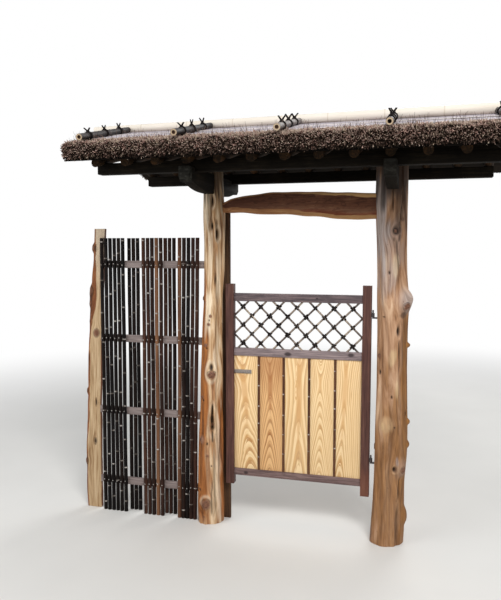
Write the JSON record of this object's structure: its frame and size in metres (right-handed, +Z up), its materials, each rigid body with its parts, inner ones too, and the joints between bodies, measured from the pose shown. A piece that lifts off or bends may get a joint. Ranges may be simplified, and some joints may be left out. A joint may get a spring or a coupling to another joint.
{
  "type": "roofed bamboo wicket gate",
  "caption": "Small garden wicket gate: log posts, hinged cedar-board door with a diagonal lattice, thatched gable roof and a wing of bamboo canes.",
  "frame": {"origin": "centre of the right (hinge) post's flat foot, at ground level", "axes": "+X along the gate towards its hinge side, +Y to the back, +Z up"},
  "size_m": [2.6701, 1.208, 2.4311],
  "materials": {
    "post_wood": "weathered",
    "lintel_wood": "weathered",
    "beam_wood": "weathered",
    "rafter_wood": "weathered",
    "roof_board_wood": "matt",
    "twig_thatch": "rough",
    "bark": "rough",
    "pale_bamboo": "satin",
    "dark_bamboo": "satin",
    "fence_rail_wood": "weathered",
    "end_post_wood": "weathered",
    "door_frame_wood": "stained",
    "cedar_board": "matt",
    "iron": "weathered"
  },
  "bodies": {
    "frame": {"right_post": "post_wood", "left_post": "post_wood", "lintel": "lintel_wood", "left_arm": "beam_wood", "right_arm": "beam_wood", "front_purlin": "beam_wood", "rear_purlin": "beam_wood", "ridge_beam": "beam_wood", "front_rafters": "rafter_wood", "rear_rafters": "rafter_wood", "front_roof_boards": "roof_board_wood", "rear_roof_boards": "roof_board_wood", "front_thatch": "twig_thatch", "rear_thatch": "twig_thatch", "front_bark_cover": "bark", "rear_bark_cover": "bark", "ridge_pole": "pale_bamboo", "front_hold_downs": "dark_bamboo", "rear_hold_downs": "dark_bamboo", "fence_end_post": "end_post_wood", "fence_rails": "fence_rail_wood", "front_canes_1": "dark_bamboo", "front_canes_2": "dark_bamboo", "front_canes_3": "dark_bamboo", "back_canes_1": "dark_bamboo", "back_canes_2": "dark_bamboo", "door_stop": "beam_wood", "upper_hinge_hook": "iron", "lower_hinge_hook": "iron"},
    "door": {"latch_stile": "door_frame_wood", "hinge_stile": "door_frame_wood", "top_rail": "door_frame_wood", "mid_rail": "door_frame_wood", "bottom_rail": "door_frame_wood", "board_1": "cedar_board", "board_2": "cedar_board", "board_3": "cedar_board", "board_4": "cedar_board", "board_5": "cedar_board", "board_strips": "dark_bamboo", "lattice": "dark_bamboo", "latch_bar": "iron", "upper_hinge_eye": "iron", "lower_hinge_eye": "iron"}
  },
  "joints": [
    {"name": "door_hinge", "type": "hinge", "parent": "frame", "child": "door", "pos_m": [-0.1, 0, 0.45], "axis": [0, 0, 1], "range_deg": [0, 100]}
  ]
}
